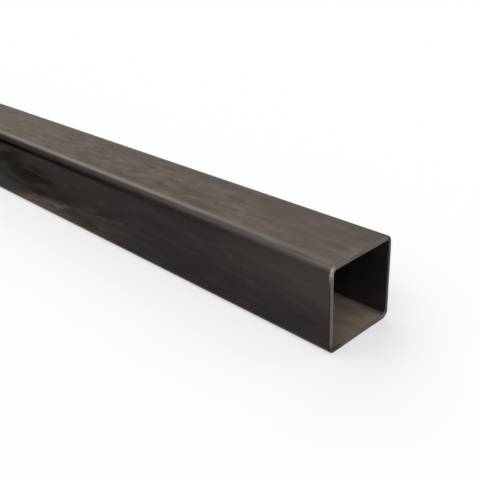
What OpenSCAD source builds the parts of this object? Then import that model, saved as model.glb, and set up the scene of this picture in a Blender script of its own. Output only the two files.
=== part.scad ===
// Square steel tube, cold formed from strip, seam welded and sawn to length.
// It lies along X on one outside face, and the origin is under its middle at floor level.
// The section is drawn as the strip is formed: one lengthwise wall profile is carried
// straight along four flats and turned round four corner bends.

/* [Tube] */
// Cut length, from one sawn end to the other
length = 1000; // [250:50:6000]
// Outside width across the flats, the same both ways
side = 50; // [30:1:120]
// Wall thickness
wall = 3; // [1.5:0.25:6]
// Inside radius of the four corner bends
bend_r = 1.5; // [0.5:0.25:4]

/* [Weld seam] */
// Width of the bead at the inside face
bead_w = 3.2; // [2:0.1:5]
// Height of the bead above the inside face
bead_h = 0.6; // [0.2:0.1:1]
// Distance of the seam above the middle of its wall
seam_rise = 0; // [-6:0.5:6]

/* [Sawn ends] */
// Width of the broken edge outside, at each end
outer_break = 0.5; // [0.1:0.1:0.8]
// Width of the broken edge inside, at each end
inner_break = 0.3; // [0.1:0.1:0.6]

/* [Hidden] */
$fn = 96;
steel = "#57524d";
outer_r = bend_r + wall;
flat_w = side - 2 * outer_r;
inner_face = side / 2 - wall;
half_length = length / 2;
// Radius of the arc that is bead_w wide and bead_h high, and the bead's depth into the wall
bead_arc_r = (bead_w * bead_w / 4 + bead_h * bead_h) / (2 * bead_h);
bead_root = wall / 2;
bead_length = length - 2 * inner_break;

// The wall cut lengthwise: x runs from its inside face to its outside face, y along the tube.
// The corners are the broken edges of the two sawn ends.
module wall_profile() {
    polygon([
        [0, inner_break - half_length],
        [inner_break, -half_length],
        [wall - outer_break, -half_length],
        [wall, outer_break - half_length],
        [wall, half_length - outer_break],
        [wall - outer_break, half_length],
        [inner_break, half_length],
        [0, half_length - inner_break]
    ]);
}

// One flat of the strip, standing up along Z with its outside face towards +X
module flat() {
    translate([inner_face, 0, 0])
        rotate([90, 0, 0])
            linear_extrude(height = flat_w, center = true)
                wall_profile();
}

// The bend that joins that flat to the next one
module bend() {
    translate([flat_w / 2, flat_w / 2, 0])
        rotate_extrude(angle = 90)
            translate([bend_r, 0])
                wall_profile();
}

// The bead of the seam weld: a circle that shows as a low round ridge inside, cut off at its
// root in the middle of the wall. It is dressed back by the broken edge at each end.
module weld_bead() {
    linear_extrude(height = bead_length, center = true)
        intersection() {
            translate([inner_face - bead_h + bead_arc_r, 0])
                circle(r = bead_arc_r);
            translate([0, -bead_arc_r])
                square([inner_face + bead_root, 2 * bead_arc_r]);
        }
}

// The whole tube standing up along Z, its seam in the flat that faces +X
module standing_tube() {
    for (quarter = [0:3])
        rotate([0, 0, 90 * quarter]) {
            flat();
            bend();
        }
    translate([0, seam_rise, 0])
        weld_bead();
}

// The tube laid along X: the flat with the seam turns to +Y, and the next flat to the top
module square_tube() {
    color(steel)
        translate([0, 0, side / 2])
            rotate([90, 0, 90])
                standing_tube();
}

square_tube();
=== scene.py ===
# %% [markdown]
# A length of square steel tube, dressed for its picture
#
# The real thing starts as flat strip. Rolls fold the strip round until its two edges meet, the
# seam is welded in passing, and a saw cuts the tube off. So there is one piece of metal with
# three finishes: the rolled skin outside, the duller skin inside, and the bare sawn rims.
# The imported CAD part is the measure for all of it, and this script only gives it its surface.

# %% The frame that everything is fitted to
import bpy
import numpy as np
from mathutils import Matrix, Vector


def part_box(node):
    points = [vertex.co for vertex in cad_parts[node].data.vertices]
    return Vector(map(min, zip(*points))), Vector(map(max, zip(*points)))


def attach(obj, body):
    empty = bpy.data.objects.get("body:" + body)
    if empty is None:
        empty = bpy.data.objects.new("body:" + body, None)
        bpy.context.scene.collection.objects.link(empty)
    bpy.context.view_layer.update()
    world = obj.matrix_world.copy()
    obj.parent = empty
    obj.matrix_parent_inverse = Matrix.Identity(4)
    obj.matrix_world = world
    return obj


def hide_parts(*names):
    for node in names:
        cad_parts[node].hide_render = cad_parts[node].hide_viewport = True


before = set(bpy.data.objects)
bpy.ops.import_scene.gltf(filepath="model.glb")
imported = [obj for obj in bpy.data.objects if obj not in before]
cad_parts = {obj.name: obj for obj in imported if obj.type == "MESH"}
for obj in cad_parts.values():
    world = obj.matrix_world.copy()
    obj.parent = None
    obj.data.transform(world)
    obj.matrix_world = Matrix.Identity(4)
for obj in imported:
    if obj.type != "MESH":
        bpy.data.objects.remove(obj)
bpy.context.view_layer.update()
low, high = (np.array(corner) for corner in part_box("square_tube"))
LENGTH, SIDE = high[0] - low[0], high[1] - low[1]
print("tube", round(LENGTH, 4), "m long and", round(SIDE, 4), "m square")

# %% [markdown]
# The camera
#
# The viewpoint was worked out from the outline in the photograph: above the tube's near side,
# past its open end, with a normal lens. A camera can be aimed with a constraint, but a matrix
# made from where it stands, what it looks at and how far it leans needs nothing else later.

# %% Camera
MM = 0.001
CAMERA_PLACE = Vector((681.3, -252.7, 208.6)) * MM
CAMERA_AIM = Vector((410.1, 2.7, 25.25)) * MM
CAMERA_LEAN = np.radians(2.66)
# The lens in millimetres, on Blender's usual sensor, and how many metres far the camera sees
CAMERA_LENS, CAMERA_REACH = 52.75, 60
forward = (CAMERA_AIM - CAMERA_PLACE).normalized()
level_right = forward.cross(Vector((0, 0, 1))).normalized()
level_up = level_right.cross(forward)
right = level_right * np.cos(CAMERA_LEAN) - level_up * np.sin(CAMERA_LEAN)
up = right.cross(forward)
camera = bpy.data.objects.new("camera", bpy.data.cameras.new("camera"))
camera.data.lens = CAMERA_LENS
camera.data.clip_end = CAMERA_REACH
turn = Matrix((right, up, -forward)).transposed().to_4x4()
camera.matrix_world = Matrix.Translation(CAMERA_PLACE) @ turn
bpy.context.scene.collection.objects.link(camera)
bpy.context.scene.camera = camera
print("camera", round((CAMERA_AIM - CAMERA_PLACE).length, 3), "m from what it looks at")

# %% [markdown]
# Colours and shader nodes
#
# Colours are read off a swatch as sRGB hex. Blender's sockets want linear light, so one function
# turns one into the other. Linear numbers could be typed in, but they say little to the eye. A
# second function adds any shader node at all: its settings by name, and each input filled with a
# value or with the socket that feeds it. So a material reads as a list of nodes.

# %% Helpers for materials


def paint(swatch):
    """Linear RGBA of an sRGB swatch such as '#808080', each channel decoded by the sRGB curve."""
    coded = np.array([int(swatch[i:i + 2], 16) for i in (1, 3, 5)]) / 255
    linear = np.where(coded <= 0.04045, coded / 12.92, ((coded + 0.055) / 1.055) ** 2.4)
    return (*linear, 1.0)


def node(tree, kind, inputs=None, **settings):
    """Adds a node to a tree, with its settings, and with its inputs set or linked."""
    made = tree.nodes.new(kind)
    for name, value in settings.items():
        setattr(made, name, value)
    for name, value in (inputs or {}).items():
        if isinstance(value, bpy.types.NodeSocket):
            tree.links.new(value, made.inputs[name])
        else:
            made.inputs[name].default_value = value
    return made


def new_material(name):
    """An empty material, its node tree, and the material output waiting for a shader."""
    material = bpy.data.materials.new(name)
    material.use_nodes = True
    material.node_tree.nodes.clear()
    return material, material.node_tree, node(material.node_tree, "ShaderNodeOutputMaterial")


print("middle grey is", round(float(paint("#808080")[0]), 3), "in linear light")

# %% [markdown]
# The floor and the light
#
# The picture is a plain product shot on white. A wide pale floor carries the soft shadow. Area
# lamps could stand near by, but their light would fade along the tube, so wide sun lamps do it.
# Each one has its own work, because dark metal is seen by what it mirrors. The sheen lamp, behind
# on the left, lies on the top face. The line, high and band lamps follow one another down the
# upper bend, and the two left lamps lie on the near side. The front lamp gives the floor most of
# its light and sends the shadow behind the tube. The right lamp reaches into the open end, and
# the edge lamp, behind on the right, catches the broken edge above it.

# %% Floor
FLOOR_REACH = 30.0
FLOOR_DROP = 0.0002
floor_mesh = bpy.data.meshes.new("floor")
floor_corners = np.array([(-1, -1), (1, -1), (1, 1), (-1, 1)]) * FLOOR_REACH
floor_mesh.from_pydata([(x, y, -FLOOR_DROP) for x, y in floor_corners], [], [(0, 1, 2, 3)])
floor = bpy.data.objects.new("floor", floor_mesh)
bpy.context.scene.collection.objects.link(floor)
floor_paper, tree, output = new_material("pale_paper_floor")
# The camera and the metal see half of the floor as plain white, so its shadow stays faint
WHITE_SHARE = 0.5
light_path = node(tree, "ShaderNodeLightPath")
seen = 0.0
for ray in ("Is Camera Ray", "Is Glossy Ray", "Is Transmission Ray"):
    seen = node(tree, "ShaderNodeMath", {
        0: seen, 1: light_path.outputs[ray],
    }, operation="MAXIMUM").outputs[0]
seen_white = node(tree, "ShaderNodeMath", {0: seen, 1: WHITE_SHARE}, operation="MULTIPLY").outputs[0]
shader = node(tree, "ShaderNodeMixShader", {
    0: seen_white,
    1: node(tree, "ShaderNodeBsdfDiffuse", {"Color": paint("#f8f7f6")}).outputs[0],
    2: node(tree, "ShaderNodeEmission", {"Color": paint("#ffffff"), "Strength": 1.0}).outputs[0],
})
tree.links.new(shader.outputs[0], output.inputs["Surface"])
floor_mesh.materials.append(floor_paper)
print("floor", 2 * FLOOR_REACH, "m across")

# %% Lamps
# Where each lamp stands, as seen from the tube, how wide it looks in degrees, and its strength
LAMPS = {
    "sheen_lamp": ((-0.66, 0.59, 0.47), 45, 0.80),
    "line_lamp": ((-0.86, 0.20, 0.47), 25, 0.20),
    "high_lamp": ((-0.55, 0.35, 0.75), 40, 0.22),
    "band_lamp": ((-0.50, -0.20, 0.80), 45, 0.50),
    "left_lamp": ((-0.60, -0.60, 0.45), 70, 0.40),
    "front_left_lamp": ((-0.35, -0.70, 0.70), 60, 0.55),
    "front_lamp": ((0.30, -0.60, 0.80), 60, 1.10),
    "right_lamp": ((0.80, -0.30, 0.60), 50, 0.70),
    "edge_lamp": ((0.47, 0.67, 0.58), 35, 0.25),
}
WORLD_STRENGTH = 0.12
for name, (stand, width, strength) in LAMPS.items():
    lamp = bpy.data.objects.new(name, bpy.data.lights.new(name, "SUN"))
    lamp.data.energy = strength
    lamp.data.angle = np.radians(width)
    lamp.rotation_euler = Vector(stand).to_track_quat("Z", "Y").to_euler()
    bpy.context.scene.collection.objects.link(lamp)
world = bpy.data.worlds.new("studio")
world.use_nodes = True
world.node_tree.nodes["Background"].inputs["Color"].default_value = paint("#ffffff")
world.node_tree.nodes["Background"].inputs["Strength"].default_value = WORLD_STRENGTH
bpy.context.scene.world = world
bpy.context.scene.view_settings.view_transform = "Standard"
print("lamps", ", ".join(LAMPS))

# %% [markdown]
# Walking round the section
#
# The section is a square with four bends. It could be extruded in the CAD way, but a surface
# that is worked out as a grid can carry relief in real depth: the flats sink a little, the weld
# bead wanders. One direction of the grid walks round the section, flat, bend, flat, bend. It is
# walked twice with as many stops, once outside and once inside, and the wall lies between them.
#
# A rolled bend has no sharp start. Outside, the curve of the upper bends comes and goes over a few
# millimetres, and that spreads the bright line that runs along the tube's edge. It lies inside
# the CAD arc by about a quarter of a millimetre. The lower bends came out of the rolls tighter,
# and the inside is folded hard, so there the curve hardly spreads.

# %% One bend
BEND_STEPS = 16
# Steps of the sum that finds the curve, for each step that is kept
FINE_STEPS = 60


def ramp(t):
    """Half of t squared, and 0 before 0: a step, integrated twice."""
    return np.clip(t, 0, None) ** 2 / 2


def bend_curve(radius, ease):
    """One bend as places (outwards, onwards) from its start on the flat, and the angles turned.
    The curvature of an arc, 1 over its radius, is averaged over the ease both ways. Summed up
    along the arc it gives the angle, and the sum of that direction gives the place, scaled to
    end on the next flat, the radius and the ease further on."""
    arc = np.pi / 2 * radius
    run = np.linspace(-ease, arc + ease, BEND_STEPS * FINE_STEPS + 1)
    turned = ramp(run + ease) - ramp(run - ease)
    turned -= ramp(run - arc + ease) - ramp(run - arc - ease)
    turned /= 2 * ease * radius
    heading = np.stack([-np.sin(turned), np.cos(turned)], 1)
    place = np.vstack([[0, 0], np.cumsum((heading[1:] + heading[:-1]) / 2, 0)])
    place *= (radius + ease) / place[-1, 1]
    return place[:-1:FINE_STEPS], turned[:-1:FINE_STEPS]


print("a bend in", BEND_STEPS, "steps, each the sum of", FINE_STEPS)

# %% Stops across a flat
FLAT_STEPS = 16
# The weld bead and the planed strip outside it need finer steps than a plain flat
SEAM_REACH, SEAM_STEPS = 5.0 * MM, 24


def flat_stops(start, end, seam):
    """Distances across one flat from its middle, the start first and without the end: even
    steps, and on the flat with the seam fine steps about its middle."""
    if not seam:
        return np.linspace(start, end, FLAT_STEPS + 1)[:-1]
    before = np.linspace(start, -SEAM_REACH, FLAT_STEPS // 3 + 1)[:-1]
    about = np.linspace(-SEAM_REACH, SEAM_REACH, SEAM_STEPS)
    after = np.linspace(SEAM_REACH, end, FLAT_STEPS // 3 + 1)[1:-1]
    return np.concatenate([before, about, after])


print("steps across a plain flat", FLAT_STEPS, "and over the seam alone", SEAM_STEPS)

# %% The section, outside and inside
WALL = 3.0 * MM
INSIDE_BEND = 1.5 * MM
OUTSIDE_BEND = INSIDE_BEND + WALL
# The eases of the far upper, near upper, near lower and far lower bend
INSIDE_EASES = np.array([0.3, 0.3, 0.3, 0.3]) * MM
OUTSIDE_EASES = np.array([2.4, 2.4, 0.6, 0.6]) * MM


def section(half, radius, eases):
    """Walks anticlockwise round a square of this half width, as seen from +X: up the +Y flat,
    which has the seam, round its bend, along the top, and so on. Returns, for each stop, its
    place, the way out, its distance across its flat, and the angle turned since that flat."""
    places, ways, across, turns = [], [], [], []
    for quarter, ease in enumerate(eases):
        facing = np.pi / 2 * quarter
        frame_here = np.array([[np.cos(facing), np.sin(facing)], [-np.sin(facing), np.cos(facing)]])
        bend_places, bend_angles = bend_curve(radius, ease)
        start, end = radius + eases[quarter - 1] - half, half - radius - ease
        stops = flat_stops(start, end, seam=quarter == 0)
        places.append(np.stack([np.full(len(stops), half), stops], 1) @ frame_here)
        ways.append(np.repeat(frame_here[:1], len(stops), 0))
        across.append(stops)
        turns.append(np.zeros(len(stops)))
        places.append((bend_places + [half, end]) @ frame_here)
        ways.append(np.stack([np.cos(bend_angles), np.sin(bend_angles)], 1) @ frame_here)
        across.append(np.full(BEND_STEPS, end))
        turns.append(bend_angles)
    return [np.concatenate(part) for part in (places, ways, across, turns)]


outside, outward, across_outside, turned = section(SIDE / 2, OUTSIDE_BEND, OUTSIDE_EASES)
inside, inside_way, across_inside, _ = section(SIDE / 2 - WALL, INSIDE_BEND, INSIDE_EASES)
on_flat = turned == 0
on_seam_flat = on_flat & (outward[:, 0] > 0.999)
print("stops round the section", len(outside))

# %% [markdown]
# Walking along the wall
#
# The other direction of the grid runs along the wall as a saw would leave it: down the outside,
# over the broken edge, across the sawn rim, over the inner edge, back along the inside, and
# over the other rim. Both walks end where they began, so the surface closes without a seam. A
# Bevel modifier could break the edges, but worked out here they can be broken unevenly.

# %% The wall's lengthwise profile
OUTER_BREAK, INNER_BREAK = 0.5 * MM, 0.3 * MM
OUTSIDE_RINGS, INSIDE_RINGS = 200, 330
EDGE_STEPS, RIM_STEPS = 4, 6
# A ring this far behind each broken edge keeps the edge's shading off the flats
EDGE_RING = 0.4 * MM


def even_rings(end, count):
    """Places from end to -end: both of them, and even rings between the two edge rings."""
    return np.concatenate([[end], np.linspace(end - EDGE_RING, EDGE_RING - end, count - 2), [-end]])


def wall_profile():
    """One closed turn about the wall: its distance along X and its depth below the outside. The
    broken edges are quarter circles. The first half is for the back end at -X, and the second
    half is the same walk turned half round, for the front end."""
    half = LENGTH / 2
    quarter = np.linspace(0, np.pi / 2, EDGE_STEPS + 1)[1:-1]
    outside = even_rings(half - OUTER_BREAK, OUTSIDE_RINGS)
    outer_x = OUTER_BREAK - half - OUTER_BREAK * np.sin(quarter)
    outer_depth = OUTER_BREAK * (1 - np.cos(quarter))
    rim_depth = np.linspace(OUTER_BREAK, WALL - INNER_BREAK, RIM_STEPS)
    inner_x = -half + INNER_BREAK * (1 - np.cos(quarter))
    inner_depth = WALL - INNER_BREAK * (1 - np.sin(quarter))
    inside = -even_rings(half - INNER_BREAK, INSIDE_RINGS)
    x = np.concatenate([
        outside, outer_x, np.full(RIM_STEPS, -half), inner_x,
        inside, -inner_x[::-1], np.full(RIM_STEPS, half), -outer_x[::-1],
    ])
    depth = np.concatenate([
        np.zeros(OUTSIDE_RINGS), outer_depth, rim_depth, inner_depth,
        np.full(INSIDE_RINGS, WALL), inner_depth[::-1], rim_depth[::-1], outer_depth[::-1],
    ])
    return x, depth


along_x, wall_depth = wall_profile()
print("rings along the wall", len(along_x))

# %% [markdown]
# Relief with real depth
#
# No rolled flat is quite flat. Each one is a tenth of a millimetre hollow, and it undulates a
# little along its length. Outside, the welded seam was planed off and left a shallow strip.
# Inside, the bead is a low ridge that swells, shrinks and wanders, and it is dressed down at the
# ends. The edges of the sawn ends were knocked off by hand, so they are broken here more and
# there less. A displacement texture could do this, but functions of the place keep each form
# where it belongs. All of it goes inwards from the CAD surface, or stays no higher than the CAD
# bead, so the tube keeps its size.

# %% Slow waves and smooth steps
SEED = 11


def slow_wave(x, lengths, seed):
    """A wave along x between -1 and 1: the mean of sines with the given wavelengths, each
    started at its own chance phase."""
    phases = np.random.default_rng(seed).uniform(0, 2 * np.pi, len(lengths))
    return np.mean([np.sin(2 * np.pi * x / w + p) for w, p in zip(lengths, phases)], 0)


def smooth_step(value, start, end):
    """0 before start, 1 after end, and 3t^2 - 2t^3 between them."""
    t = np.clip((value - start) / (end - start), 0, 1)
    return t * t * (3 - 2 * t)


print("a quarter of the way along, a smooth step has risen to", smooth_step(0.25, 0, 1))

# %% Relief outside and inside
HOLLOW, UNDULATION = 0.10 * MM, 0.03 * MM
HOLLOW_REACH = 18.0 * MM
PLANED_WIDTH, PLANED_DEPTH, PLANED_SLOPE = 7.0 * MM, 0.06 * MM, 0.4 * MM
BEAD_WIDTH, BEAD_HEIGHT = 3.2 * MM, 0.6 * MM
BEAD_WANDER = 0.35 * MM
# The bead is dressed down this far into the ends
BEAD_DRESSED = 6.0 * MM


def outside_relief(x):
    """How far each grid point of the outside sinks: the hollow (1 - t^2)^2 across a flat, with t
    from -1 to 1, the undulation along it, and the planed strip over the seam."""
    t = np.clip(across_outside[:, None] / HOLLOW_REACH, -1, 1)
    crown = (1 - t ** 2) ** 2 * on_flat[:, None]
    which_side = np.round(np.arctan2(outward[:, 1], outward[:, 0]) / (np.pi / 2)).astype(int)
    waves = np.stack([slow_wave(x, (0.31, 0.17, 0.093), SEED + k) for k in range(4)])
    sink = HOLLOW * crown + UNDULATION * crown * (1 + waves[which_side % 4]) / 2
    edge = PLANED_WIDTH / 2
    strip = 1 - smooth_step(np.abs(across_outside), edge - PLANED_SLOPE, edge + PLANED_SLOPE)
    return sink + PLANED_DEPTH * (strip * on_seam_flat)[:, None]


def inside_relief(x):
    """How far each grid point of the inside stands up: half an ellipse, sqrt(1 - t^2) times the
    bead's height, with t from -1 to 1 across it. Its middle wanders, it shrinks to 70% of its
    height here and there, and it goes down to nothing at the ends."""
    middle = BEAD_WANDER * slow_wave(x, (0.23, 0.11, 0.047), SEED + 9)
    height = BEAD_HEIGHT * (0.85 + 0.15 * slow_wave(x, (0.083, 0.029, 0.0134), SEED + 5))
    t = (across_inside[:, None] - middle) / (BEAD_WIDTH / 2)
    ridge = np.sqrt(np.clip(1 - t ** 2, 0, 1)) * on_seam_flat[:, None]
    return height * ridge * smooth_step(LENGTH / 2 - np.abs(x), 0, BEAD_DRESSED)


print("flats hollow by", round(HOLLOW / MM, 2), "mm, bead up to", round(BEAD_HEIGHT / MM, 2), "mm high")

# %% The tube's grid
from_end = LENGTH / 2 - np.abs(along_x)
depth = np.broadcast_to(wall_depth, (len(outside), len(along_x)))
# How much larger or smaller than usual the edge is broken, at each stop and each end
EDGE_UNEVENNESS = 0.35
walked = np.cumsum(np.hypot(*np.diff(outside, axis=0, prepend=outside[-1:]).T))
wear = 1 + EDGE_UNEVENNESS * np.where(
    along_x > 0,
    slow_wave(walked, (0.031, 0.013, 0.0071), SEED + 20)[:, None],
    slow_wave(walked, (0.027, 0.015, 0.0083), SEED + 21)[:, None],
)
# Rings are told apart to a millionth of a millimetre
NEAR = 1e-6 * MM
on_outer_edge = (from_end <= OUTER_BREAK + NEAR) & (wall_depth <= OUTER_BREAK + NEAR)
on_inner_edge = (from_end <= INNER_BREAK + NEAR) & (wall_depth >= WALL - INNER_BREAK - NEAR)
worn_from_end = np.where(on_outer_edge | on_inner_edge, from_end * wear, from_end)
depth = np.where(on_outer_edge, depth * wear, depth)
depth = np.where(on_inner_edge, WALL - (WALL - depth) * wear, depth)
# Each point lies between the two sections by its share of the wall, then the relief moves it
share = (depth / WALL)[..., None]
sink = (1 - smooth_step(depth, 0, OUTER_BREAK)) * outside_relief(along_x)
rise = smooth_step(depth, WALL - INNER_BREAK, WALL) * inside_relief(along_x)
around = outside[:, None] * (1 - share) + inside[:, None] * share
around -= sink[..., None] * outward[:, None] + rise[..., None] * inside_way[:, None]
grid = np.stack([
    np.sign(along_x) * (LENGTH / 2 - worn_from_end), around[..., 0], SIDE / 2 + around[..., 1],
], -1)
print("deepest relief outside", round(float(sink.max() / MM), 3), "mm")

# %% [markdown]
# Marks along the section, some of them painted light or shade
#
# Some marks follow the section all along the tube. Where a bend runs out into the top and bottom
# flats, a bright line is painted on as a highlight, fainter on the seam's side. Where the upper
# bends run out into the upright flats, a dark line about 2 mm wide is painted on as a dark
# reflection. Both fade towards the ends. The upright flats are painted darker, as shade. On the
# seam's flat there is the planed strip, and the weld's heat has tinted the metal beside it. All are
# functions of the place on the section, so they are worked out on the grid and given to the
# materials as attributes. A texture could not know where a bend begins.

# %% Painted highlight, painted dark line and painted side shade, and the weld's marks
# The painted highlight's place is measured sideways from the middle, the painted dark line's upwards
HIGHLIGHT_PLACE, HIGHLIGHT_WIDTH, HIGHLIGHT_FADE = 19.8 * MM, 1.6 * MM, 140 * MM
DARK_LINE_PLACE, DARK_LINE_WIDTH = 20.75 * MM, 1.5 * MM
# The painted highlight is weaker on the bends beside the seam
SEAM_SIDE_HIGHLIGHT_SHARE = 0.1
# At these distances from an end, this much of the painted dark line is left
DARK_LINE_STOPS, DARK_LINE_LEFT = np.array([0, 50, 130, 240]) * MM, (0.05, 0.15, 0.37, 1.0)
# The painted shade on the upright flats thins out between these heights above and below the middle
SHADE_THINS, SHADE_ENDS = 20.5 * MM, 23.5 * MM
PLANED_BLUR = 0.5 * MM
HEAT_REACH = 8.0 * MM


def bell(value, middle, width):
    """1 in the middle, falling off both ways as exp(-t^2), with t in widths."""
    return np.exp(-((value - middle) / width) ** 2)


faces_level = np.abs(outward[:, 1]) > 0.5
faces_sideways = np.abs(outward[:, 0]) > 0.5
bend_highlight = bell(np.abs(outside[:, 0]), HIGHLIGHT_PLACE, HIGHLIGHT_WIDTH) * faces_level
bend_highlight *= np.where(outside[:, 0] > 0, SEAM_SIDE_HIGHLIGHT_SHARE, 1.0)
highlight_along = 0.25 + 0.75 * smooth_step(from_end, 0, HIGHLIGHT_FADE)
# A bend shines most in its middle
bend_sheen = np.sin(2 * turned)
dark_reflection_line = bell(outside[:, 1], DARK_LINE_PLACE, DARK_LINE_WIDTH) * faces_sideways
dark_line_along = np.interp(from_end, DARK_LINE_STOPS, DARK_LINE_LEFT)
dark_line_along *= 0.9 + 0.1 * slow_wave(along_x, (0.29, 0.12, 0.051), SEED + 30)
side_shade = (1 - smooth_step(np.abs(outside[:, 1]), SHADE_THINS, SHADE_ENDS)) * faces_sideways
planed_edge = PLANED_WIDTH / 2
planed_strip = 1 - smooth_step(np.abs(across_outside), planed_edge - PLANED_BLUR, planed_edge)
planed_strip *= on_seam_flat
weld_heat = bell(across_inside, 0, HEAT_REACH) * on_seam_flat
print("stops on the bends", int((~on_flat).sum()), "and on the seam's flat", int(on_seam_flat.sum()))

# %% Rubbing and painted sheen at the ends, painted shade on the bends, and dust inside
HANDLED_AND_SHEEN_REACH = 70 * MM
MOUTH_LIGHT_REACH = 45 * MM
degrees = np.degrees(turned)
# The ends are rubbed, and lightened further as painted sheen, all round, the upper half more, and the
# shoulders of its bends most
upper_half = smooth_step(outside[:, 1], -8 * MM, 8 * MM)
shoulders = 1.0 * bell(degrees, 22, 13) + 0.9 * bell(degrees, 62, 10)
handled_and_sheen = 0.10 + upper_half * (0.25 + 0.30 * shoulders)
handled_and_sheen_along = bell(from_end, 0, HANDLED_AND_SHEEN_REACH)
# Between the shoulders the bend is painted darker, as shade, where the lightened ends give way
bend_shade = 0.5 * bell(degrees, 42, 9)
bend_shade_along = bell(from_end, 42 * MM, 40 * MM)
# Further along, a fainter painted shade lies beside the painted highlight
bend_shade_further = 0.22 * bell(degrees, 33, 9)
bend_shade_further_along = smooth_step(from_end, 40 * MM, 170 * MM)
# Dust lies where the inside faces up, which is where the outside faces down. It is painted thinner
# in the corner below the seam, as shade, and lighter towards the ends, as painted light.
dust_light_and_shade = smooth_step(-inside_way[:, 1], 0.55, 0.95)
dust_light_and_shade *= 1 - 0.5 * bell(inside[:, 0], 21.3 * MM, 1.6 * MM)
dust_light_along = 0.7 + 0.3 * np.exp(-from_end / MOUTH_LIGHT_REACH)
print("most handled", round(float(handled_and_sheen.max()), 2), "and dustiest", round(float(dust_light_and_shade.max()), 2))

# %% Grime and rubbing on the rims
# Swarf and coolant have blackened the far wall but for its very edge. The near wall's outer edge
# keeps its skin most of the way up. The top wall is only a little grimy, but the bore's upper
# edge is black in the middle.
sideways, upwards = around[..., 0], around[..., 1]
far_grime = smooth_step(sideways, 20.0 * MM, 22.5 * MM) * smooth_step(upwards, -24 * MM, -20 * MM)
far_grime *= 1 - 0.65 * smooth_step(sideways, 22.8 * MM, 24.0 * MM)
near_grime = smooth_step(-sideways, 24.2 * MM, 24.6 * MM)
near_grime *= 1 - smooth_step(upwards, 10 * MM, 22 * MM)
top_wall = smooth_step(upwards, 21 * MM, 23 * MM)
bottom_wall = smooth_step(-upwards, 20 * MM, 21 * MM)
top_edge = smooth_step(depth, 2.1 * MM, 2.7 * MM) * bell(sideways, 2 * MM, 14 * MM)
top_grime = top_wall * (0.25 + 0.5 * top_edge)
rim_grime = np.maximum(np.maximum(far_grime, 0.8 * near_grime), top_grime)
# The broken edges are rubbed bright: outside on the top wall, and inside on the bottom wall
rubbed_edge = top_wall * (1 - smooth_step(depth, 0.4 * MM, 0.7 * MM))
rubbed_edge *= 0.55 + 0.45 * bell(sideways, -6 * MM, 12 * MM)
rubbed_edge += 0.55 * bottom_wall * smooth_step(depth, WALL - 0.5 * MM, WALL - 0.3 * MM)
print("grimiest", round(float(rim_grime.max()), 2), "and barest", round(float(rubbed_edge.max()), 2))

# %% Attributes for the materials
# A mark is how strong it is at each stop round the section, times how strong at each ring along
everywhere = np.ones(len(along_x))
attributes = {
    "rim_grime": rim_grime,
    "rubbed_edge": rubbed_edge,
    "bottom_wall": bottom_wall,
    "bend_highlight": np.outer(bend_highlight, highlight_along),
    "bend_sheen": np.outer(bend_sheen, everywhere),
    "dark_reflection_line": np.outer(dark_reflection_line, dark_line_along),
    "side_shade": np.outer(side_shade, everywhere),
    "handled_and_sheen": np.outer(handled_and_sheen, handled_and_sheen_along),
    "bend_shade": np.outer(bend_shade, bend_shade_along) + np.outer(bend_shade_further, bend_shade_further_along),
    "planed_strip": np.outer(planed_strip, everywhere),
    "weld_heat": np.outer(weld_heat, everywhere),
    "dust_light_and_shade": np.outer(dust_light_and_shade, dust_light_along),
}
print("attributes", ", ".join(attributes))

# %% [markdown]
# From grid to mesh
#
# A cube or a pipe could be cut into shape, and its doubles merged afterwards. A grid that closes
# on itself in both directions needs neither, and has no poles. Each grid square is a face between
# a station and the next one round, and between a ring and the next one along. The depth of its
# ring says which finish it takes.

# %% The tube's mesh
stations, rings = grid.shape[:2]
number = np.arange(stations * rings).reshape(stations, rings)
next_round, next_along = np.roll(number, -1, 0), np.roll(number, -1, 1)
corner_both = np.roll(next_round, -1, 1)
faces = np.stack([number, next_along, corner_both, next_round], -1).reshape(-1, 4)
tube_mesh = bpy.data.meshes.new("steel_tube")
tube_mesh.from_pydata(grid.reshape(-1, 3).tolist(), [], faces.tolist())
tube_mesh.polygons.foreach_set("use_smooth", np.ones(len(faces), bool))
ROLLED, SAWN, DULL = 0, 1, 2
# The file that broke the edges left bare metal, so only faces at full depth or none have a skin
ring_depth = (wall_depth + np.roll(wall_depth, -1)) / 2
SKIN_DEPTH = 0.001 * MM
ring_finish = np.where(ring_depth < SKIN_DEPTH, ROLLED, SAWN)
ring_finish = np.where(ring_depth > WALL - SKIN_DEPTH, DULL, ring_finish)
tube_mesh.polygons.foreach_set("material_index", np.tile(ring_finish, stations))
for name, values in attributes.items():
    layer = tube_mesh.attributes.new(name, "FLOAT", "POINT")
    layer.data.foreach_set("value", values.reshape(-1).astype(np.float32))
tube_mesh.update()
tube = bpy.data.objects.new("steel_tube", tube_mesh)
bpy.context.scene.collection.objects.link(tube)
print("faces", len(faces), "and triangles", 2 * len(faces))

# %% [markdown]
# The rolled skin
#
# Black mild steel keeps the thin dark oxide of the mill, brown-grey and satin. The metal is dark
# rather than coloured, so its brightness is mostly reflected light, and the roughness decides
# how it looks. The oxide is cloudy: soft lumps, faint streaks that the rolls drew along, and
# faint slanting ones where a hand or a rag went over it. A photograph could be wrapped round the
# tube, but noise whose cells have a real size in millimetres never repeats and has no seams.

# %% Rolled skin: clouds, streaks and wiping


def cells(size, lean=0.0, detail=3.0, distortion=0.0):
    """Noise in the tree at hand, whose cells have this size in millimetres along, across and up,
    and lean upwards along the tube by an angle in degrees."""
    moved = node(tree, "ShaderNodeMapping", {
        "Vector": place, "Rotation": (0, np.radians(lean), 0), "Scale": [1000 / s for s in size],
    })
    return node(tree, "ShaderNodeTexNoise", {
        "Vector": moved.outputs[0], "Scale": 1.0, "Detail": detail, "Distortion": distortion,
    }).outputs[0]


rolled_skin, tree, output = new_material("rolled_mild_steel_skin")
place = node(tree, "ShaderNodeTexCoord").outputs["Object"]
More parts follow.
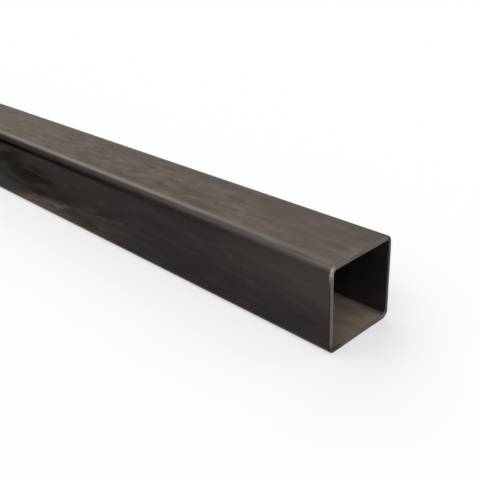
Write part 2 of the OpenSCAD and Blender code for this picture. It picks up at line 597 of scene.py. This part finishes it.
# Patches of oxide, a trace of olive here and of pink there
patches = cells((38, 16, 16), detail=3.0, distortion=0.6)
patch_share = node(tree, "ShaderNodeMapRange", {"Value": patches, "From Min": 0.40, "From Max": 0.60})
tone = node(tree, "ShaderNodeMix", {
    "Factor": patch_share.outputs[0], "A": paint("#473f36"), "B": paint("#453b38"),
}, data_type="RGBA").outputs["Result"]
# The rolls have evened out the oxide on the bends
sheen = node(tree, "ShaderNodeAttribute", attribute_name="bend_sheen").outputs["Fac"]
cloudy = node(tree, "ShaderNodeMapRange", {"Value": sheen, "To Min": 1.0, "To Max": 0.25}).outputs[0]
# Lighter and darker oxide, each kind with the size of its cells and how much it changes the tone
lumps = cells((18, 7, 7), detail=6.0, distortion=0.4)
mottles = cells((10, 3.4, 3.4), detail=5.0, distortion=0.3)
drawn_streaks = cells((60, 2.4, 2.4), distortion=0.3)
wiped_streaks = cells((30, 4, 4), lean=9)
CLOUDS = (
    (patches, 0.22), (lumps, 0.45), (mottles, 0.25), (drawn_streaks, 0.11), (wiped_streaks, 0.14),
)
for clouds, change in CLOUDS:
    shade = node(tree, "ShaderNodeMapRange", {
        "Value": clouds, "From Min": 0.3, "From Max": 0.7, "To Min": 1 - change, "To Max": 1 + change,
    }).outputs[0]
    tone = node(tree, "ShaderNodeMix", {
        "Factor": cloudy, "A": tone, "B": shade,
    }, data_type="RGBA", blend_type="MULTIPLY").outputs["Result"]
print("kinds of clouds", len(CLOUDS))

# %% [markdown]
# Marks of handling
#
# The tube in the photograph has been wiped, stacked and dragged. Some marks here are painted shade,
# painted sheen or a painted glint rather than dirt or wear. Each mark is a soft spot: an ellipsoid
# about a centre on the surface, long and thin, whose strength is broken up by a texture. A painted
# image would do the same, but a spot needs no image and keeps its real size.

# %% Rolled skin: soft spots and torn edges


def spot(centre, size, lean=0.0):
    """A soft mark in the tree at hand: 1 at its centre, falling to 0 evenly at half of its length,
    width and height in millimetres. It leans upwards along the tube by an angle in degrees."""
    moved = node(tree, "ShaderNodeMapping", {
        "Vector": place, "Location": [MM * value for value in centre],
        "Rotation": (0, -np.radians(lean), 0), "Scale": [MM * value / 2 for value in size],
    }, vector_type="TEXTURE")
    return node(tree, "ShaderNodeTexGradient", {
        "Vector": moved.outputs[0],
    }, gradient_type="SPHERICAL").outputs["Fac"]


def torn(mark, clouds, start, end, most):
    """The mark times 0 in the thinnest and 2 in the thickest clouds, which makes its edge ragged.
    Then 0 below start, rising to most at end."""
    thickness = node(tree, "ShaderNodeMapRange", {
        "Value": clouds, "From Min": 0.25, "From Max": 0.75, "To Max": 2.0,
    }).outputs[0]
    both = node(tree, "ShaderNodeMath", {0: mark, 1: thickness}, operation="MULTIPLY").outputs[0]
    return node(tree, "ShaderNodeMapRange", {
        "Value": both, "From Min": start, "From Max": end, "To Max": most,
    }).outputs[0]


NEAR_SIDE, TOP = -25.0, 50.0
MARK_DEPTH = 16.0
marks = []
print("a mark reaches", MARK_DEPTH / 2, "mm into the face that it lies on")

# %% Rolled skin: bare bends, and painted shade on the upright flats and the near side
PRESSED_SHARE = 0.7
# The bends are pressed almost bare, and their steel is greyer than the oxide
pressed = node(tree, "ShaderNodeMath", {0: sheen, 1: PRESSED_SHARE}, operation="MULTIPLY").outputs[0]
marks.append((pressed, "#3f3c3a"))
# Painted shade on the upright flats, thinner in slanting streaks
painted_side_shade = node(tree, "ShaderNodeAttribute", attribute_name="side_shade").outputs["Fac"]
streaked_side_shade = node(tree, "ShaderNodeMapRange", {
    "Value": wiped_streaks, "From Min": 0.3, "From Max": 0.7, "To Min": 0.92, "To Max": 0.74,
}).outputs[0]
side_shade_share = node(tree, "ShaderNodeMath", {0: painted_side_shade, 1: streaked_side_shade}, operation="MULTIPLY").outputs[0]
marks.append((side_shade_share, "#262324"))
# A long slanting band of dark oil, deepened with painted shade, lies on the near side from the left,
# where it is darkest
shadow_spot = spot((222, NEAR_SIDE, 29), (250, MARK_DEPTH, 44), lean=-6)
slanting_oil_and_shade = torn(shadow_spot, wiped_streaks, 0.0, 1.0, 0.42)
dark_spot = spot((190, NEAR_SIDE, 28), (180, MARK_DEPTH, 42), lean=-8)
dark_oil_and_shade = torn(dark_spot, wiped_streaks, 0.0, 0.65, 0.62)
marks += [(slanting_oil_and_shade, "#0e0a0a"), (dark_oil_and_shade, "#100a0a")]
oil_and_shade = node(tree, "ShaderNodeMath", {0: slanting_oil_and_shade, 1: dark_oil_and_shade}, operation="ADD").outputs[0]
# Below it the metal has been rubbed paler
pale_spot = spot((272, NEAR_SIDE, 4), (200, MARK_DEPTH, 30), lean=4)
marks.append((torn(pale_spot, wiped_streaks, 0.0, 0.9, 0.42), "#4d4741"))
print("marks so far", len(marks))

# %% Rolled skin: paler and darker places on the top
# It is a little yellower towards the left, and it was rubbed where the end was gripped
olive_spot = spot((150, -8, TOP), (150, 50, MARK_DEPTH))
gripped_spot = spot((500, -3, TOP), (16, 22, 8))
pale_top = spot((402, 3, TOP), (90, 16, MARK_DEPTH))
marks.append((torn(olive_spot, patches, 0.0, 1.0, 0.4), "#473e2e"))
marks.append((torn(gripped_spot, mottles, 0.0, 0.8, 0.8), "#635951"))
marks.append((torn(pale_top, lumps, 0.0, 1.0, 0.52), "#544a42"))
# Dark smudges on the top: place along and across, length and width
SMUDGES = (
    (218, -2, 16, 6), (252, -4, 60, 12), (306, -2, 22, 7), (290, -11, 22, 8), (328, -3, 24, 7),
    (376, -3, 20, 6), (395, -11, 20, 7), (357, -13, 30, 8), (315, -16, 90, 9), (467, -4, 36, 6),
    (278, -13, 90, 14), (325, -17, 90, 9), (385, -18, 90, 6), (285, 12, 120, 14),
    (295, -18, 150, 5), (398, -15, 50, 8),
)
smudged = 0.0
for x, y, long, wide in SMUDGES:
    mark = spot((x, y, TOP), (long, wide, MARK_DEPTH))
    smudged = node(tree, "ShaderNodeMath", {0: smudged, 1: mark}, operation="ADD").outputs[0]
marks.append((torn(smudged, mottles, 0.1, 1.1, 0.42), "#26201c"))
# Further in, the oxide is more mottled: pale, flecked, and filmed over in longer lumps
flecks = cells((9, 2.4, 2.4), detail=4.0)
film = cells((24, 5.5, 5.5))
mottled_top = spot((255, 0, TOP), (400, 140, MARK_DEPTH))
marks.append((torn(mottled_top, mottles, 0.7, 1.5, 0.35), "#5a5047"))
marks.append((torn(mottled_top, flecks, 0.8, 1.5, 0.40), "#26201c"))
marks.append((torn(mottled_top, film, 0.8, 1.4, 0.40), "#26201c"))
# Towards the end the top is painted a little darker again, as shade
top_end_shade = spot((455, -2, TOP), (120, 50, MARK_DEPTH))
marks.append((torn(top_end_shade, lumps, 0.0, 1.0, 0.15), "#26201c"))
# The strip along the top's far edge is painted a little darker all the way, as shade
far_edge_shade = spot((300, 18, TOP), (1200, 26, MARK_DEPTH))
marks.append((torn(far_edge_shade, lumps, 0.0, 1.0, 0.24), "#26201c"))
print("smudges on the top", len(SMUDGES))

# %% Rolled skin: the rusty stain, the streaks beside it and scratches
rust_cells = cells((17, 3, 3), lean=8, detail=5.0, distortion=0.5)
rust_spot = spot((219, NEAR_SIDE, 8), (92, MARK_DEPTH, 14), lean=7)
rust = torn(rust_spot, rust_cells, 0.1, 1.0, 0.48)
marks.append((rust, "#6a504c"))
low_stain = spot((238, NEAR_SIDE, 5), (70, MARK_DEPTH, 9), lean=5)
marks.append((torn(low_stain, rust_cells, 0.1, 1.0, 0.3), "#6b5f52"))
# The stain ends in a paler, yellower tongue
tongue = spot((246, NEAR_SIDE, 11), (50, MARK_DEPTH, 9), lean=9)
marks.append((torn(tongue, rust_cells, 0.1, 1.1, 0.30), "#7a6c62"))
# Streaks beside it, and specks: place along and up, length and width, and lean
STREAKS = ((290, 19.8, 44, 5.0, 14), (298, 16.8, 110, 4.4, 7), (262, 14.0, 44, 4.0, 10))
SPECKS = (
    (281, 34, 12, 5.0, 10), (265, 31, 16, 4.4, 12), (308, 30, 14, 5.0, 30),
    (431, 33, 12, 4.0, 8), (443, 29, 10, 5.0, 30), (447, 23, 13, 4.4, -12), (444, 21, 10, 4.0, 20),
    (478, 23, 36, 4.0, -8), (427, 27, 12, 4.0, 5),
)
for places, strongest in ((STREAKS, 0.18), (SPECKS, 0.08)):
    scratched = 0.0
    for x, z, long, wide, lean in places:
        mark = spot((x, NEAR_SIDE, z), (long, MARK_DEPTH / 2, wide), lean=lean)
        scratched = node(tree, "ShaderNodeMath", {0: scratched, 1: mark}, operation="ADD").outputs[0]
    marks.append((torn(scratched, mottles, 0.1, 1.2, strongest), "#736a60"))
print("streaks and specks", len(STREAKS) + len(SPECKS))

# %% Rolled skin: painted highlight, painted dark line and shade, the weld's marks, and all marks laid on
painted_highlight = node(tree, "ShaderNodeAttribute", attribute_name="bend_highlight").outputs["Fac"]
painted_dark_line = node(tree, "ShaderNodeAttribute", attribute_name="dark_reflection_line").outputs["Fac"]
planed = node(tree, "ShaderNodeAttribute", attribute_name="planed_strip").outputs["Fac"]
heat = node(tree, "ShaderNodeAttribute", attribute_name="weld_heat").outputs["Fac"]
rubbed_and_sheen = node(tree, "ShaderNodeAttribute", attribute_name="handled_and_sheen").outputs["Fac"]
bend_shade = node(tree, "ShaderNodeAttribute", attribute_name="bend_shade").outputs["Fac"]
# Painted shade on the bends, rubbing and painted sheen at the ends, the painted highlight and the
# painted dark line
marks += [(bend_shade, "#201d1c"), (rubbed_and_sheen, "#54504d"), (painted_highlight, "#5e5a56"), (painted_dark_line, "#161313")]
# The near bend was knocked about at the corner, where a glint is painted on as well, and again some way
# behind it
worn_corner_glint = torn(spot((496, -22.2, 50.3), (30, 4.8, 4.8)), mottles, 0.0, 1.0, 0.65)
worn_place = torn(spot((452, -21.4, 50.3), (50, 5, 5)), mottles, 0.0, 1.0, 0.45)
marks += [(worn_corner_glint, "#605b56"), (worn_place, "#605b56")]
marks += [(heat, "#33353a"), (planed, "#5f5a54")]
for mark, swatch in marks:
    tone = node(tree, "ShaderNodeMix", {
        "Factor": mark, "A": tone, "B": paint(swatch),
    }, data_type="RGBA").outputs["Result"]
print("marks on the skin", len(marks))

# %% Rolled skin: gloss and grain
# Rubbed bends are glossier, stains are duller
gloss = node(tree, "ShaderNodeMapRange", {"Value": sheen, "To Min": 0.38, "To Max": 0.28}).outputs[0]
patchy_gloss = node(tree, "ShaderNodeMapRange", {
    "Value": lumps, "From Min": 0.3, "From Max": 0.7, "To Min": -0.04, "To Max": 0.04,
}).outputs[0]
gloss = node(tree, "ShaderNodeMath", {0: gloss, 1: patchy_gloss}, operation="ADD").outputs[0]
dulled = node(tree, "ShaderNodeMath", {0: rust, 1: 0.25, 2: gloss}, operation="MULTIPLY_ADD").outputs[0]
# The relief: soft waves, drawn lines and the oxide's grain, with their heights in millimetres.
# The real lines and grain are too fine to show, so they are drawn as coarse as 0.6 and 0.7 mm.
RELIEF = (
    (cells((16, 9, 9), detail=2.0), 0.035), (cells((30, 0.6, 0.6)), 0.004),
    (cells((0.7, 0.7, 0.7)), 0.010),
)
relief = 0.0
for texture, height in RELIEF:
    relief = node(tree, "ShaderNodeMath", {
        0: texture, 1: height, 2: relief,
    }, operation="MULTIPLY_ADD").outputs[0]
bump = node(tree, "ShaderNodeBump", {"Height": relief, "Strength": 1.0, "Distance": MM})
metal = node(tree, "ShaderNodeMapRange", {"Value": rust, "To Min": 1.0, "To Max": 0.3}).outputs[0]
# The painted dark line, and the oil and painted shade on the near side, mirror less at a grazing angle
# than the thin film
THIN_FILM_GLINT, DARKENED_GLINT = (0.65, 0.645, 0.622, 1.0), (0.40, 0.39, 0.39, 1.0)
dead = node(tree, "ShaderNodeMath", {0: oil_and_shade, 1: 0.45, 2: painted_dark_line}, operation="MULTIPLY_ADD")
grazing = node(tree, "ShaderNodeMix", {
    "Factor": dead.outputs[0], "A": THIN_FILM_GLINT, "B": DARKENED_GLINT,
}, data_type="RGBA").outputs["Result"]
shader = node(tree, "ShaderNodeBsdfPrincipled", {
    "Base Color": tone, "Metallic": metal, "Roughness": dulled,
    "Specular Tint": grazing, "Normal": bump.outputs[0],
})
tree.links.new(shader.outputs[0], output.inputs["Surface"])
print("rolled skin in", len(tree.nodes), "nodes")

# %% [markdown]
# The sawn rims
#
# A band saw leaves bare steel with fine scratches side by side, about a millimetre apart, a
# little out of level. The broken edges are bare too, and brightest where the near upper corner
# was knocked, where a glint is painted on as well. The far wall was cut last, and its rim is
# black with swarf and coolant down to the bottom bend. The near lower corner is painted dark as
# shade, and there is dust on the bottom rim. The scratches could be cut into the mesh, but they
# are finer than the picture shows, so a noise drawn out along them shades and bumps the metal.

# %% Sawn rims: the saw's scratches
sawn_steel, tree, output = new_material("saw_cut_mild_steel")
place = node(tree, "ShaderNodeTexCoord").outputs["Object"]
SAW_LEAN = 7
# How often the noise changes in a metre: every 5 mm into the tube, every 14 mm along a scratch
# and every 0.8 mm from one scratch to the next
KERFS_PER_METRE = (200, 71, 1250)
kerf_place = node(tree, "ShaderNodeMapping", {
    "Vector": place, "Rotation": (np.radians(SAW_LEAN), 0, 0), "Scale": KERFS_PER_METRE,
})
kerfs = node(tree, "ShaderNodeTexNoise", {
    "Vector": kerf_place.outputs[0], "Scale": 1.0, "Detail": 4.0, "Roughness": 0.6,
}).outputs[0]
print("a scratch every", 1000 / KERFS_PER_METRE[2], "mm")

# %% Sawn rims: dust, grime, rubbing, a painted glint, painted shade and gloss
grimy = node(tree, "ShaderNodeAttribute", attribute_name="rim_grime").outputs["Fac"]
# The knocked near upper corner of the rim is bare, and painted brighter still as a glint
knocked_glint = spot((500, -23.8, 47.8), (7, 7, 10))
edge_rubbed = node(tree, "ShaderNodeAttribute", attribute_name="rubbed_edge").outputs["Fac"]
dusty = node(tree, "ShaderNodeAttribute", attribute_name="bottom_wall").outputs["Fac"]
# The near lower corner is painted dark as shade, on the rim and inside
SHADED_CORNER = (500, -20.5, 2.8)
corner_shade = torn(spot(SHADED_CORNER, (16, 20, 9)), kerfs, 0.0, 0.9, 0.85)
tone = paint("#6e665e")
for mark, swatch in (
    (dusty, "#635a4e"), (grimy, "#110f0e"), (edge_rubbed, "#8a8177"), (knocked_glint, "#aca49b"),
    (corner_shade, "#1c1916"),
):
    tone = node(tree, "ShaderNodeMix", {
        "Factor": mark, "A": tone, "B": paint(swatch),
    }, data_type="RGBA").outputs["Result"]
kerf_shade = node(tree, "ShaderNodeMapRange", {
    "Value": kerfs, "From Min": 0.3, "From Max": 0.7, "To Min": 0.7, "To Max": 1.25,
}).outputs[0]
tone = node(tree, "ShaderNodeMix", {
    "Factor": 1.0, "A": tone, "B": kerf_shade,
}, data_type="RGBA", blend_type="MULTIPLY").outputs["Result"]
bump = node(tree, "ShaderNodeBump", {"Height": kerfs, "Strength": 0.6, "Distance": 0.05 * MM})
shader = node(tree, "ShaderNodeBsdfPrincipled", {
    "Base Color": tone, "Metallic": 1.0, "Roughness": 0.45, "Normal": bump.outputs[0],
})
tree.links.new(shader.outputs[0], output.inputs["Surface"])
print("sawn rims in", len(tree.nodes), "nodes")

# %% [markdown]
# The inside skin
#
# Nothing ever rubbed the inside. Its walls keep a film of oil over black oxide and look nearly
# black, and the weld's heat has left a darker band about the bead. Pale brown dust has settled on
# the wall that lies lowest. It is lighter towards the ends as painted light, and thinner in the far
# corner as painted shade. The near corner and the end of the seam's wall are painted dark as shade.
# The dust could be a layer of its own, but it is finer than the picture shows, so it only changes
# the colour, the gloss and the metal where the surface faces up.

# %% Inside skin
inner_skin, tree, output = new_material("dull_inner_skin")
place = node(tree, "ShaderNodeTexCoord").outputs["Object"]
dust_and_shading = node(tree, "ShaderNodeAttribute", attribute_name="dust_light_and_shade").outputs["Fac"]
heat = node(tree, "ShaderNodeAttribute", attribute_name="weld_heat").outputs["Fac"]
# Dust lies in drifts, with grit in them
drifts = cells((12, 6, 6), detail=6.0)
drift_share = node(tree, "ShaderNodeMapRange", {
    "Value": drifts, "From Min": 0.3, "From Max": 0.7,
}).outputs[0]
dust_tone = node(tree, "ShaderNodeMix", {
    "Factor": drift_share, "A": paint("#7c6f60"), "B": paint("#978878"),
}, data_type="RGBA").outputs["Result"]
corner_shade = torn(spot(SHADED_CORNER, (60, 44, 14)), drifts, 0.0, 1.0, 0.44)
# The seam's wall is painted darker at the end, as shade
seam_wall_end_shade = torn(spot((500, 22, 27), (50, 12, 80)), drifts, 0.0, 1.0, 0.5)
tone = paint("#3b3535")
for mark, coat in (
    (heat, paint("#332e2e")), (dust_and_shading, dust_tone), (corner_shade, paint("#2a2622")),
    (seam_wall_end_shade, paint("#1c1819")),
):
    tone = node(tree, "ShaderNodeMix", {
        "Factor": mark, "A": tone, "B": coat,
    }, data_type="RGBA").outputs["Result"]
metal = node(tree, "ShaderNodeMapRange", {"Value": dust_and_shading, "To Min": 0.6, "To Max": 0.0}).outputs[0]
gloss = node(tree, "ShaderNodeMapRange", {"Value": dust_and_shading, "To Min": 0.45, "To Max": 0.8}).outputs[0]
bump = node(tree, "ShaderNodeBump", {"Height": drifts, "Strength": 0.5, "Distance": 0.05 * MM})
shader = node(tree, "ShaderNodeBsdfPrincipled", {
    "Base Color": tone, "Metallic": metal, "Roughness": gloss, "Normal": bump.outputs[0],
})
tree.links.new(shader.outputs[0], output.inputs["Surface"])
print("inside skin in", len(tree.nodes), "nodes")

# %% The three finishes on the tube
for finish in (rolled_skin, sawn_steel, inner_skin):
    tube_mesh.materials.append(finish)
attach(tube, "root")
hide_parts("square_tube")
print("finishes", ", ".join(finish.name for finish in tube_mesh.materials))
